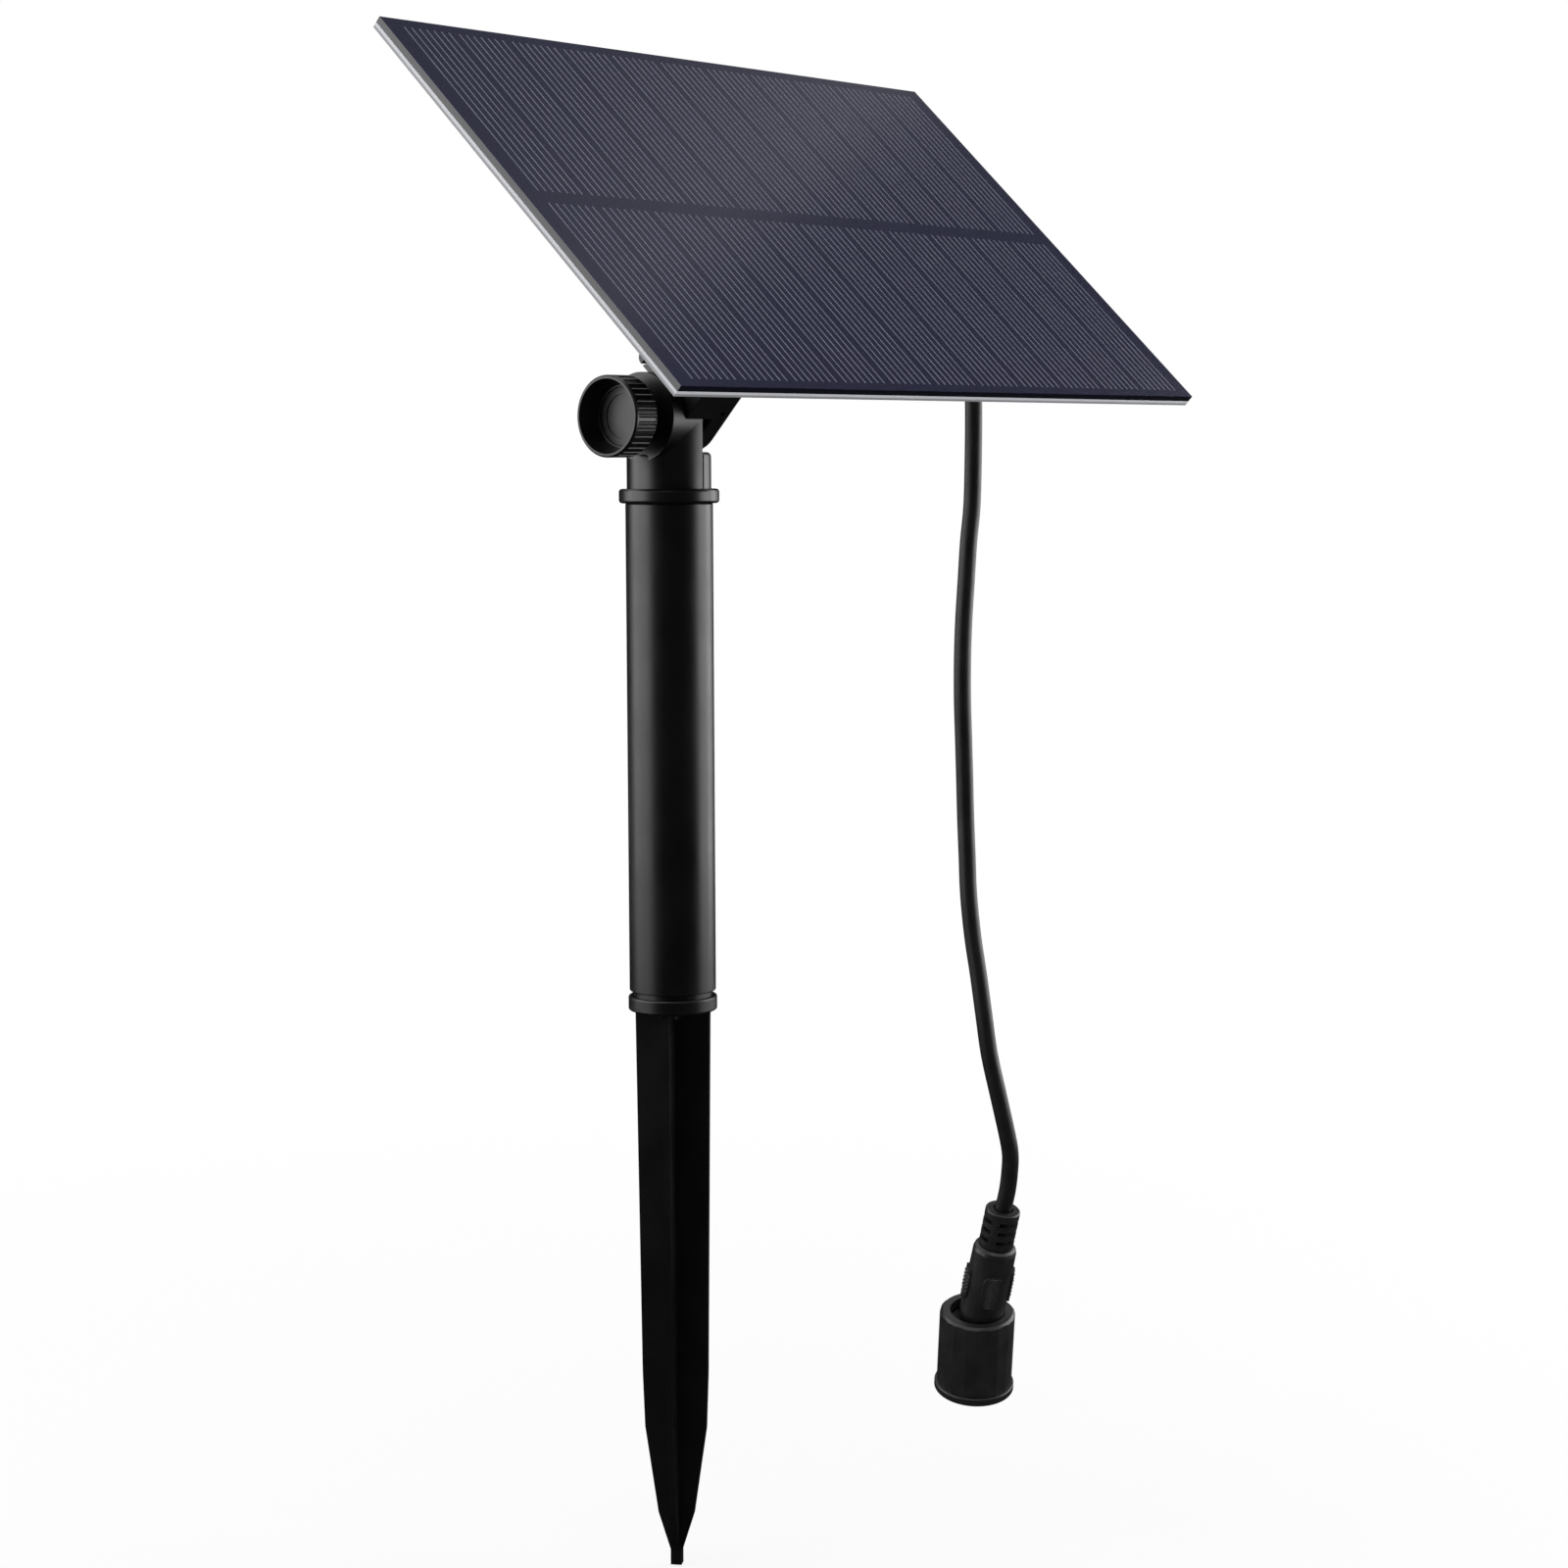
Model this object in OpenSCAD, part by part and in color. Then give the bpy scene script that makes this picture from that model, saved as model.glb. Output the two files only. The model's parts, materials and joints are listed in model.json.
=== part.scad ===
// Solar panel of a garden fountain pump, on a clamp joint and a ground stake, with its lead.
// Origin: stake axis at ground level, under the collar of the spike. +Z is up.
// +X runs along the tilt axis, away from the clamp knob. The panel faces -Y and up.

/* [Panel] */
// Width of the panel along the tilt axis
panel_w = 196; // [180:1:220]
// Height of the panel up its slope
panel_h = 122; // [114:1:140]
// Thickness of the clear front sheet
sheet_t = 1.6; // [1.2:0.1:2.4]
// Thickness of the backing board
board_t = 1.4; // [1:0.1:2]
// Angle of the panel face above the horizontal
panel_tilt = 43; // [36:1:50]
// Distance from the tilt axis to the panel face
face_rise = 66; // [62:1:76]
// Distance of the panel's centre below the tilt axis, down the slope
face_drop = 2.7; // [0:0.1:6]
// Cells in a row
cell_cols = 11; // [8:1:14]
// Rows of cells
cell_rows = 2; // [1:1:3]
// Plain border round the cells
cell_border = 3.5; // [2:0.1:6]
// Plain gap between cells side by side
cell_gap = 0.8; // [0.4:0.1:1.5]
// Plain band between the rows of cells
row_gap = 4.2; // [2:0.1:8]
// Thickness of a cell
cell_t = 0.3; // [0.2:0.05:0.6]

/* [Junction box] */
// Width of the junction box
box_w = 68; // [58:1:80]
// Height of the junction box up the slope
box_h = 51; // [48:1:60]
// Depth of the junction box shell
box_d = 16; // [16:0.5:20]
// Wall of the junction box
box_wall = 2; // [1.5:0.1:3]
// Thickness of the rubber seal under the lid
seal_t = 1; // [0.6:0.1:1.6]
// Thickness of the lid
lid_t = 3; // [2.5:0.1:4]

/* [Bracket] */
// Width of the bracket's stem
stem_w = 15.2; // [14:0.1:18]
// Distance of the stem's front face from the tilt axis
stem_front = 8.5; // [8.2:0.1:9.5]
// Distance of the stem's back face from the tilt axis
stem_back = 14; // [13:0.1:16]
// Wall of the hollow stem
stem_wall = 2.2; // [1.6:0.1:3]
// Thickness of the leg that carries the eye
leg_t = 5.5; // [4.6:0.1:6]
// Thickness of the foot plate
foot_t = 3.5; // [3:0.1:5]
// Width of the foot plate
foot_w = 44; // [38:1:50]
// Height of the foot plate up the slope
foot_h = 36; // [32:1:40]

/* [Clamp joint] */
// Height of the tilt axis above the ground
pivot_z = 150; // [140:1:200]
// Radius of the clamp bolt
bolt_r = 2.45; // [2:0.05:2.9]
// Radial play of the bolt in the ear, and of the nut on the bolt
bolt_play = 0.08; // [0.03:0.01:0.1]
// Radius of the ear
ear_r = 11; // [10.8:0.1:11.5]
// Length of the ear along the tilt axis
ear_l = 11.1; // [9.6:0.1:12.6]
// Step from the ear's rim at the knob down to the part under the stem
ear_step = 0.3; // [0.2:0.1:0.9]
// Radius of the knob over its ribs
knob_r = 10.1; // [9.5:0.1:13]
// Length of the ribbed part of the knob
knob_l = 8.6; // [7:0.1:12]
// Number of grooves round the knob
knob_grooves = 36; // [24:1:40]
// Depth of the knob's hollow
knob_hollow = 6; // [4:0.1:6.4]

/* [Stake] */
// Outer radius of the pole tube and the head
pole_r = 11; // [10:0.1:12]
// Wall of the pole tube
pole_wall = 1.6; // [1.2:0.1:2.2]
// Radius of the head's collar
collar_r = 12.6; // [12.2:0.1:14]
// Height of the head's collar
collar_h = 3.6; // [3:0.1:6]
// Height of the plain neck between the collar and the tilt axis
neck_h = 17.9; // [16:0.1:24]
// Length of the plugs that enter the tube
plug_l = 22; // [16:1:30]
// Radius of the spike's collar
spike_collar_r = 11.3; // [11:0.1:13]
// Height of the spike's collar
spike_collar_h = 3.7; // [3:0.1:6]
// Height of the dark groove above the spike's collar
groove_h = 1.3; // [0.8:0.1:2]
// Length of the spike below the ground line
spike_l = 146; // [120:1:180]
// Half span of the spike's blades at the top
blade_span = 9.6; // [8:0.1:10]
// Thickness of a blade
blade_t = 1.8; // [1.4:0.1:2.6]
// Turn of the blades about the stake
blade_turn = 30; // [0:1:89]

/* [Lead] */
// Radius of the cable
cable_r = 2.25; // [2:0.05:2.5]
// Radius of the strain relief boot
boot_r = 4.65; // [4.2:0.05:5]
// Length of the strain relief boot
boot_l = 11; // [9:0.5:14]
// Length of the connector's body above its nut
body_l = 20.5; // [18:0.5:26]
// Radius of the connector's body at the nut
body_r = 6; // [5.8:0.05:6.2]
// Radius of the locking nut over its corners
nut_r = 10.1; // [10:0.1:12]
// Length of the locking nut
nut_l = 23.5; // [22:0.5:28]
// Flats of the locking nut
nut_flats = 10; // [8:1:14]

/* [Hidden] */
$fn = 64;
eps = 0.01;          // overlap that joins two solids of one piece
over = 1;            // how far a cutting tool runs past a face
slip = 0.05;         // radial play of a plug in its tube
gap = 0.3;           // air between pieces that move past each other

// Panel, measured up its own normal from the tilt axis
board_top = face_rise - sheet_t;
board_back = board_top - board_t;
panel_mid = -face_drop;
cell_w = (panel_w - 2 * cell_border - (cell_cols - 1) * cell_gap) / cell_cols;
cell_h = (panel_h - 2 * cell_border - (cell_rows - 1) * row_gap) / cell_rows;

// Junction box under the board
box_low = board_back - box_d;
lid_top = box_low - seal_t;
lid_low = lid_top - lid_t;
box_corner_r = 5;
post_r = 3.4;
post_x = box_w / 2 - box_wall - post_r + 1;
post_y = box_h / 2 - box_wall - post_r + 1;
lead_hole_r = 1.2;
lead_hole_x = 6;
small_screw_r = 1.4;
small_head_r = 2.6;
small_head_t = 1.6;
socket_r = 1.1;
socket_d = 0.9;
screw_l = 9;
screw_boss_r = 3.6;
screw_boss_h = 6;
shelf_gap = 4;
shelf_post_r = 2.4;
shelf_post_x = 14;
board_rim = 4;
terminal_h = 20;
terminal_t = 1.2;
terminal_hole_y = 6;
diode_y = 5;
diode_r = 2.2;
diode_l = 9;
diode_lead_l = 3;
diode_lead_r = 0.4;
box_floor = board_back - box_wall;
shelf_low = box_floor - shelf_gap;

// Gland on the box's side
gland_thread_r = 4.6;
gland_hex_r = 6.8;
gland_hex_t = 2.5;
gland_cap_r = 6;
gland_cap_l = 9.5;
gland_lip = 4;
gland_ribs = 12;
gland_lock_r = 6.1;
gland_lock_t = 2.4;
gland_lock_air = 0.9;
gland_y = panel_mid - (post_y - post_r - gland_lock_r - gap);
gland_z = box_floor - gland_lock_r - gland_lock_air;
gland_face = box_w / 2;
gland_nose = gland_face + gland_hex_t + gland_cap_l;

// Bracket
foot_top = lid_low;
foot_low = foot_top - foot_t;
foot_x = foot_w / 2 - 5;
foot_y = foot_h / 2 - 5;
foot_mid = (stem_back - stem_front) / 2;
stem_x0 = -0.38 * stem_w;    // most of the stem stands on the eye's side
leg_x1 = stem_x0 + stem_w;
leg_x0 = leg_x1 - leg_t;
boss_r = 8.3;
seam_x = 0.8;            // plane where the head's ear half ends
washer_t = 1;
washer_r = 8;
washer_proud = 0.1;
bolt_head_r = 4.6;
bolt_head_t = 3.4;
stem_low = 7;
stem_round = 2;

// Clamp joint
axis_bore_r = bolt_r + bolt_play;
ear_face = ear_l - seam_x;
ear_low_r = ear_r - ear_step;
relief_r = ear_low_r + gap;  // the stem's underside, curved round the ear
knob_air = 0.3;
hub_r = 6;
hub_l = 3.9;
knob_back = ear_face + hub_l;
knob_rim = knob_back + knob_l;
knob_floor = knob_rim - knob_hollow;
cap_t = 1;
cap_low = knob_floor - cap_t;
insert_r = 3.8;
insert_l = cap_low - ear_face - knob_air - 0.4;
bolt_end = ear_face + insert_l;
rim_wall = 0.9;
floor_r = 7.3;

// Stake
head_r = pole_r - 0.4;
shoulder_z = pivot_z - stem_front - gap;
shoulder_round = 1.2;
split_w = 0.5;
split_d = 0.35;
collar_top = pivot_z - neck_h;
tube_top = collar_top - collar_h;
tube_low = spike_collar_h + groove_h;
tube_in_r = pole_r - pole_wall;
plug_r = tube_in_r - slip;
core_hole_r = 6.2;
edge_r = 0.8;
blade_low = 0.65;    // share of the spike's length where the point begins
blade_waist = 0.75;
blade_neck = 0.906;
blade_flare = 0.4;   // the blades widen into the collar
root_half = 1.1;
tip_half = 1.4;
tip_l = 3.6;

// Connector, measured down its own axis from the mouth of the boot
mouth_r = 2.75;
mouth_d = 1;
boot_slots = 3;
slot_pitch = 2.7;
slot_w = 1.1;
slot_core_r = 3;
spine_w = 2;
shoulder_r = body_r - 0.2;
pad_out = 0.6;
pad_count = 4;
pad_w = 5.2;
pad_l = 10;
pad_up = 4;
nut_top = boot_l + body_l;
lip_t = 2.2;
lip_r = 7.4;
flange_top = nut_top + lip_t + 1.5;   // room for the nut to hang askew
flange_t = 2.6;
flange_r = 7.9;
nose_r = 5.3;
nose_end = nut_top + 18.5;
core_r = 4.4;
core_l = 9;
barrel_r = 2.75;
barrel_bore_r = 1.05;
barrel_out = 4;
barrel_bore_l = 9;
seal_wire_r = 0.9;
nut_bore_r = nut_r - 1.1;
nut_foot_r = nut_r + 0.6;
nut_foot_h = 2.2;
wide_flat_share = 0.61;

// The cable's way down from the gland's nose, in round numbers from that nose
cable_inside = 12;
cable_way = [
    [0, 0, 0], [6.5, 0, -1], [12, 0, -4.5], [16, 0, -9.5], [18, 0, -15.5],
    [18.5, 0, -26], [18.5, 0, -37], [18, 0, -52], [16.5, 0, -62], [15.5, 0, -72],
    [14.5, 0, -82], [14, 0, -92], [14, 0, -102], [14.5, 0, -112], [15, 0, -122],
    [15.5, 0, -133], [15.5, -0.5, -143], [15.5, -1, -153], [16, -2, -164], [16.5, -3.5, -174],
    [17, -5, -185], [18, -6, -195], [20, -7.5, -206], [22.5, -8.5, -216.5],
    [24, -8.5, -222], [25.2, -7.5, -227], [26, -6.2, -232.5], [26.5, -4.5, -237.8]
];
cable_sides = 10;
plug_lean = 18;      // lean of the connector's body from the vertical
plug_way = -109;     // compass angle that the body's cable end leans towards
nut_lean = 15;       // the nut hangs loosely, so it leans less
nut_way = -134;
nut_aside = [-0.7, 0.9, 0.2];  // and its mouth rests to one side of the body

function cable_start() = [
    gland_nose,
    gland_y * cos(panel_tilt) - gland_z * sin(panel_tilt),
    pivot_z + gland_y * sin(panel_tilt) + gland_z * cos(panel_tilt)
];
function cable_end() = cable_start() + cable_way[len(cable_way) - 1];
function unit(v) = v / norm(v);
function lean_axis(lean, way) = [sin(lean) * cos(way), sin(lean) * sin(way), cos(lean)];

// ---------- frames that pieces are drawn in ----------

// Local X along the tilt axis, Y up the slope, Z out of the panel's face
module in_panel() {
    translate([0, 0, pivot_z]) rotate([panel_tilt, 0, 0]) children();
}

// Local Z runs from the tilt axis's middle towards the knob
module along_clamp() {
    translate([0, 0, pivot_z]) rotate([0, -90, 0]) children();
}

// A slab from x0 to x1 whose outline lies in the Y-Z plane
module slab_x(x0, x1) {
    translate([x0, 0, 0]) rotate([90, 0, 90]) linear_extrude(x1 - x0) children();
}

// Local Z up the connector's axis, origin at the mouth of the boot
module in_plug() {
    translate(cable_end()) rotate([0, plug_lean, plug_way]) children();
}

// Local Z up the locking nut's axis, origin at the middle of its top face
module in_nut() {
    translate(cable_end() + nut_aside - nut_top * lean_axis(plug_lean, plug_way))
        rotate([0, nut_lean, nut_way])
            children();
}

module round_rect(w, h, r) {
    square([w - 2 * r, h], center = true);
    square([w, h - 2 * r], center = true);
    for (x = [-1, 1], y = [-1, 1])
        translate([x * (w / 2 - r), y * (h / 2 - r)]) circle(r);
}

module at_corners(x, y) {
    for (i = [-1, 1], j = [-1, 1]) translate([i * x, j * y, 0]) children();
}

// A small screw that points up, with its head's top face at z = 0
module small_screw(l) {
    difference() {
        translate([0, 0, -small_head_t]) cylinder(h = small_head_t, r = small_head_r);
        translate([0, 0, -small_head_t - over]) cylinder(h = over + socket_d, r = socket_r, $fn = 6);
    }
    translate([0, 0, -eps]) cylinder(h = l, r = small_screw_r);
}

// ---------- panel ----------

module each_cell() {
    for (i = [0 : cell_cols - 1], j = [0 : cell_rows - 1])
        translate([
            (i - (cell_cols - 1) / 2) * (cell_w + cell_gap),
            panel_mid + (j - (cell_rows - 1) / 2) * (cell_h + row_gap),
            board_top
        ])
            translate([-cell_w / 2, -cell_h / 2, 0]) cube([cell_w, cell_h, cell_t]);
}

module panel_plate(low, t) {
    translate([-panel_w / 2, panel_mid - panel_h / 2, low]) cube([panel_w, panel_h, t]);
}

module front_sheet() {
    color([0.17, 0.18, 0.3])
        in_panel() difference() {
            panel_plate(board_top, sheet_t);
            each_cell();
        }
}

module solar_cells() {
    color([0.62, 0.62, 0.72]) in_panel() each_cell();
}

module backing_board() {
    color([0.76, 0.77, 0.79])
        in_panel() difference() {
            panel_plate(board_back, board_t);
            for (x = [-lead_hole_x, lead_hole_x])
                translate([x, panel_mid, board_back - over])
                    cylinder(h = board_t + 2 * over, r = lead_hole_r);
        }
}

// ---------- junction box ----------

module junction_box() {
    color([0.1, 0.1, 0.11])
        in_panel() translate([0, panel_mid, 0]) difference() {
            union() {
                difference() {
                    translate([0, 0, box_low]) linear_extrude(box_d)
                        round_rect(box_w, box_h, box_corner_r);
                    translate([0, 0, box_low - over]) linear_extrude(box_d - box_wall + over)
                        round_rect(box_w - 2 * box_wall, box_h - 2 * box_wall, box_corner_r - box_wall);
                }
                at_corners(post_x, post_y)
                    translate([0, 0, box_low]) cylinder(h = box_d - box_wall + eps, r = post_r);
                for (x = [-shelf_post_x, shelf_post_x])
                    translate([x, 0, shelf_low]) cylinder(h = shelf_gap + eps, r = shelf_post_r);
            }
            at_corners(post_x, post_y)
                translate([0, 0, box_low - over]) cylinder(h = screw_l, r = small_screw_r);
            for (x = [-lead_hole_x, lead_hole_x])
                translate([x, 0, box_floor - over]) cylinder(h = box_wall + 2 * over, r = lead_hole_r);
            translate([gland_face - box_wall - over, gland_y - panel_mid, gland_z])
                rotate([0, 90, 0]) cylinder(h = box_wall + 2 * over, r = gland_thread_r);
        }
}

module box_seal() {
    color([0.16, 0.16, 0.16])
        in_panel() translate([0, panel_mid, lid_top]) linear_extrude(seal_t) difference() {
            round_rect(box_w - 0.6, box_h - 0.6, box_corner_r - 0.3);
            difference() {
                round_rect(box_w - 2 * box_wall, box_h - 2 * box_wall, box_corner_r - box_wall);
                for (i = [-1, 1], j = [-1, 1])
                    translate([i * post_x, j * post_y]) circle(post_r);
            }
            for (i = [-1, 1], j = [-1, 1])
                translate([i * post_x, j * post_y]) circle(small_screw_r + 0.1);
        }
}

module box_lid() {
    color([0.1, 0.1, 0.11])
        in_panel() difference() {
            union() {
                translate([0, panel_mid, lid_low]) linear_extrude(lid_t)
                    round_rect(box_w, box_h, box_corner_r);
                at_foot_screws()
                    translate([0, 0, lid_top - eps]) cylinder(h = screw_boss_h, r = screw_boss_r);
            }
            translate([0, panel_mid, 0]) at_corners(post_x, post_y) {
                translate([0, 0, lid_low - over]) cylinder(h = lid_t + 2 * over, r = small_screw_r + 0.1);
                translate([0, 0, lid_low - over]) cylinder(h = small_head_t + over, r = small_head_r + 0.1);
            }
            at_foot_screws()
                translate([0, 0, lid_low - over]) cylinder(h = screw_l - foot_t + over, r = small_screw_r);
        }
}

module box_screws() {
    color([0.7, 0.7, 0.72])
        in_panel() translate([0, panel_mid, lid_low + small_head_t])
            at_corners(post_x, post_y) small_screw(screw_l - 1);
}

module terminal_board() {
    color([0.13, 0.36, 0.2])
        in_panel() translate([0, panel_mid, shelf_low - terminal_t]) difference() {
            linear_extrude(terminal_t)
                round_rect(2 * (shelf_post_x + board_rim), terminal_h, 1.5);
            for (x = [-lead_hole_x, lead_hole_x])
                translate([x, terminal_hole_y, -over])
                    cylinder(h = terminal_t + 2 * over, r = lead_hole_r);
        }
}

module blocking_diode() {
    color([0.12, 0.12, 0.13])
        in_panel() translate([0, panel_mid - diode_y, shelf_low - terminal_t - diode_r])
            rotate([0, 90, 0]) {
                cylinder(h = diode_l, r = diode_r, center = true);
                cylinder(h = diode_l + 2 * diode_lead_l, r = diode_lead_r, center = true);
            }
}

// ---------- gland ----------

module at_gland(x) {
    in_panel() translate([x, gland_y, gland_z]) rotate([0, 90, 0]) children();
}

module gland_body() {
    thread_l = gland_lock_t + box_wall + 1;
    color([0.09, 0.09, 0.1])
        difference() {
            union() {
                at_gland(gland_face) cylinder(h = gland_hex_t, r = gland_hex_r, $fn = 6);
                at_gland(gland_face - thread_l) cylinder(h = thread_l + eps, r = gland_thread_r - slip);
                at_gland(gland_face + gland_hex_t - eps) cylinder(h = gland_cap_l - gland_lip, r = gland_thread_r);
            }
            at_gland(gland_face - thread_l - over)
                cylinder(h = thread_l + gland_hex_t + gland_cap_l, r = cable_r + 0.1);
        }
}

module gland_cap() {
    color([0.09, 0.09, 0.1])
        difference() {
            at_gland(gland_face + gland_hex_t) rotate_extrude() polygon([
                [0, 0], [gland_cap_r, 0], [gland_cap_r, gland_cap_l - gland_lip],
                [gland_cap_r - 0.6, gland_cap_l - 2], [gland_cap_r - 2, gland_cap_l - 0.5],
                [gland_cap_r - 3, gland_cap_l], [0, gland_cap_l]
            ]);
            at_gland(gland_face + gland_hex_t - over)
                cylinder(h = gland_cap_l - gland_lip + over + eps, r = gland_thread_r + slip);
            at_gland(gland_face) cylinder(h = gland_hex_t + gland_cap_l + over, r = cable_r + 0.1);
            for (i = [0 : gland_ribs - 1])
                at_gland(gland_face + gland_hex_t) rotate([0, 0, i * 360 / gland_ribs])
                    translate([gland_cap_r + 0.35, 0, 1]) cylinder(h = gland_cap_l, r = 0.8);
        }
}

module gland_locknut() {
    color([0.09, 0.09, 0.1])
        difference() {
            at_gland(gland_face - box_wall - gland_lock_t)
                cylinder(h = gland_lock_t, r = gland_lock_r, $fn = 6);
            at_gland(gland_face - box_wall - gland_lock_t - over)
                cylinder(h = gland_lock_t + 2 * over, r = gland_thread_r);
        }
}

// ---------- bracket ----------

module at_foot_screws() {
    translate([0, foot_mid, 0]) at_corners(foot_x, foot_y) children();
}

// Side view of the stem: straight faces over a round relief
module stem_side() {
    difference() {
        union() {
            translate([-stem_front, stem_low + stem_round])
                square([stem_front + stem_back, foot_top - stem_low - stem_round]);
            translate([-stem_front, stem_low])
                square([stem_front + stem_back - stem_round, stem_round + eps]);
            translate([stem_back - stem_round, stem_low + stem_round]) circle(stem_round);
        }
        circle(relief_r);
    }
}

// Side view of the leg, which runs down to a round eye
module leg_side() {
    circle(stem_front);
    polygon([
        [-stem_front, 0], [-stem_front, foot_top], [stem_back, foot_top],
        [stem_back, stem_low + stem_round], [stem_front, stem_round], [stem_front, 0]
    ]);
}

// Space inside the hollow stem, open on the knob's side, on both sides of a rib
module stem_hollow() {
    rib_y = 3;
    rib_t = 1.4;
    difference() {
        translate([stem_wall - stem_front, stem_low])
            square([stem_front + stem_back - 2 * stem_wall, foot_low - stem_low - stem_wall]);
        circle(relief_r + stem_wall);
        translate([rib_y, 0]) square([rib_t, foot_low]);
    }
}

module bracket() {
    color([0.13, 0.13, 0.14])
        in_panel() difference() {
            union() {
                slab_x(stem_x0, leg_x0 + eps) stem_side();
                slab_x(leg_x0, leg_x1) leg_side();
                slab_x(seam_x + 2 * washer_proud, leg_x0 + eps) circle(boss_r);
                translate([0, foot_mid, foot_low]) linear_extrude(foot_t)
                    round_rect(foot_w, foot_h, 4);
                for (x = [-1, 1])
                    gusset(x);
            }
            slab_x(stem_x0 - over, leg_x0 - stem_wall) stem_hollow();
            slab_x(seam_x, leg_x1 + over) circle(axis_bore_r);
            slab_x(leg_x1 - bolt_head_t, leg_x1 + over) circle(bolt_head_r + 0.1, $fn = 6);
            at_foot_screws()
                translate([0, 0, foot_low - over]) cylinder(h = foot_t + 2 * over, r = small_screw_r + 0.15);
            // blind locating hole in the front face
            translate([(leg_x0 + leg_x1) / 2, -stem_front, 8.7]) rotate([90, 0, 0])
                cylinder(h = 3, r = 0.6, center = true);
        }
}

// A triangular web between the stem's side and the foot plate
module gusset(side) {
    run = 9;
    web_t = 1.8;
    web_y = 7.5;
    face = side > 0 ? leg_x1 : -stem_x0;
    for (y = [-web_y, web_y])
        translate([side * (face - eps), foot_mid + y, foot_low + eps])
            rotate([90, 0, 0]) linear_extrude(web_t, center = true)
                polygon([[0, 0], [side * run, 0], [0, -run]]);
}

module bracket_screws() {
    color([0.7, 0.7, 0.72])
        in_panel() at_foot_screws() translate([0, 0, foot_low]) small_screw(screw_l - 0.6);
}

// ---------- clamp joint ----------

module clamp_bolt() {
    head_x = leg_x1 - bolt_head_t;
    color([0.72, 0.72, 0.74]) {
        in_panel() slab_x(head_x, leg_x1 - 0.2) circle(bolt_head_r, $fn = 6);
        along_clamp() translate([0, 0, -head_x - eps]) cylinder(h = bolt_end + head_x + eps, r = bolt_r);
    }
}

module friction_washer() {
    color([0.25, 0.22, 0.2])
        along_clamp() translate([0, 0, -seam_x - washer_proud]) difference() {
            cylinder(h = washer_t, r = washer_r - slip);
            translate([0, 0, -over]) cylinder(h = washer_t + 2 * over, r = axis_bore_r + 0.3);
        }
}

// Outline of the knob from hub to rim, as a turned profile
module knob_profile() {
    polygon([
        [0, ear_face + knob_air], [hub_r, ear_face + knob_air], [hub_r, knob_back],
        [knob_r - 1.6, knob_back], [knob_r - 0.5, knob_back + 0.5], [knob_r, knob_back + 1.6],
        [knob_r, knob_rim - 0.4], [knob_r - 0.4, knob_rim],
        [knob_r - rim_wall, knob_rim], [floor_r + 0.5, knob_floor + 0.4],
        [floor_r, knob_floor + 0.4], [floor_r, cap_low], [0, cap_low]
    ]);
}

module clamp_knob() {
    groove_r = 0.5;
    color([0.13, 0.13, 0.14])
        along_clamp() difference() {
            rotate_extrude() knob_profile();
            for (i = [0 : knob_grooves - 1])
                rotate([0, 0, i * 360 / knob_grooves])
                    translate([knob_r + 0.1, 0, knob_back - over])
                        cylinder(h = knob_l - 0.9 + over, r = groove_r, $fn = 16);
            translate([0, 0, ear_face - over])
                cylinder(h = insert_l + knob_air + over, r = insert_r);
        }
}

module knob_insert() {
    color([0.8, 0.64, 0.3])
        along_clamp() translate([0, 0, ear_face + knob_air]) difference() {
            cylinder(h = insert_l, r = insert_r);
            translate([0, 0, -over]) cylinder(h = insert_l + 2 * over, r = axis_bore_r);
        }
}

module knob_cap() {
    dish_r = 5.6;
    dish_d = 0.3;
    color([0.15, 0.15, 0.16])
        along_clamp() translate([0, 0, cap_low]) difference() {
            cylinder(h = cap_t, r = floor_r - 0.1);
            translate([0, 0, cap_t - dish_d]) cylinder(h = dish_d + over, r = dish_r);
        }
}

// ---------- stake ----------

// A ring whose outer edges are rounded, as a turned profile
module rounded_band(r, h, er) {
    rotate_extrude() {
        square([r - er, h]);
        translate([0, er]) square([r, h - 2 * er]);
        translate([r - er, er]) circle(er, $fn = 32);
        translate([r - er, h - er]) circle(er, $fn = 32);
    }
}

module stake_head() {
    color([0.13, 0.13, 0.14])
        difference() {
            union() {
                translate([0, 0, tube_top - plug_l]) cylinder(h = plug_l + eps, r = plug_r);
                translate([0, 0, tube_top]) rounded_band(collar_r, collar_h, edge_r);
                // full round neck, its shoulder rounded at the rim
                translate([0, 0, collar_top - eps]) rotate_extrude() {
                    square([head_r, shoulder_z - shoulder_round - collar_top + eps]);
                    square([head_r - shoulder_round, shoulder_z - collar_top + eps]);
                    translate([head_r - shoulder_round, shoulder_z - shoulder_round - collar_top + eps])
                        circle(shoulder_round, $fn = 32);
                }
                // half that rises into the ear
                intersection() {
                    translate([0, 0, collar_top - eps]) cylinder(h = neck_h + eps, r = head_r);
                    translate([-ear_face, -head_r, collar_top - eps])
                        cube([ear_face + seam_x, 2 * head_r, neck_h + eps]);
                }
                // ear, stepped in under the stem, with a full rim at the knob
                along_clamp() translate([0, 0, -seam_x]) cylinder(h = ear_l, r = ear_low_r);
                along_clamp() translate([0, 0, gap - stem_x0])
                    cylinder(h = ear_face + stem_x0 - gap, r = ear_r);
            }
            // split line down both sides of the neck
            for (a = [0, 180]) rotate([0, 0, a])
                translate([a == 0 ? seam_x : -seam_x - split_w, split_d - head_r - over, collar_top])
                    cube([split_w, over, neck_h]);
            along_clamp() translate([0, 0, -2 * pole_r]) cylinder(h = 4 * pole_r, r = axis_bore_r);
            along_clamp() translate([0, 0, -seam_x - over])
                cylinder(h = washer_t - washer_proud + over, r = washer_r);
            translate([0, 0, tube_top - plug_l - over])
                cylinder(h = plug_l + over + collar_h, r = core_hole_r);
        }
}

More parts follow.
